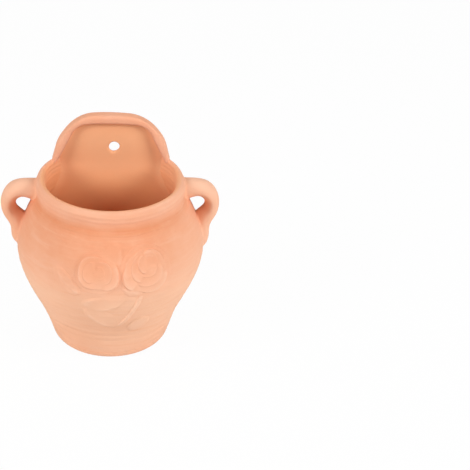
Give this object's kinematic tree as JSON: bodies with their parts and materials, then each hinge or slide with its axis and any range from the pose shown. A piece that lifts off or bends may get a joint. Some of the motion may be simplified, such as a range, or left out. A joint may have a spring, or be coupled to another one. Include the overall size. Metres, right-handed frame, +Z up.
{
  "type": "wall planter",
  "caption": "Half-round terracotta wall planter with a raised back, hanging hole, loop handles and a rose-spray relief on the belly.",
  "frame": {"origin": "middle of the bottom edge of the flat back, on the wall plane and level with the base", "axes": "+Z up, +Y back into the wall (the wall is the plane Y = 0), +X to the right for someone facing the planter"},
  "size_m": [0.2144, 0.1455, 0.2215],
  "materials": {
    "terracotta": "unglazed matt fired clay",
    "terracotta_relief": "unglazed matt fired clay, sponged smooth"
  },
  "bodies": {
    "root": {"base_floor": "terracotta", "pot_wall": "terracotta", "mouth_rim": "terracotta", "back_slab": "terracotta", "hood_border": "terracotta", "handle_left": "terracotta", "handle_right": "terracotta", "rose_left": "terracotta_relief", "rose_right": "terracotta_relief", "top_leaf": "terracotta_relief", "side_leaf": "terracotta_relief", "low_leaf": "terracotta_relief", "under_leaf": "terracotta_relief", "calyx_leaf": "terracotta_relief", "small_leaf": "terracotta_relief", "stem": "terracotta_relief"}
  },
  "joints": []
}
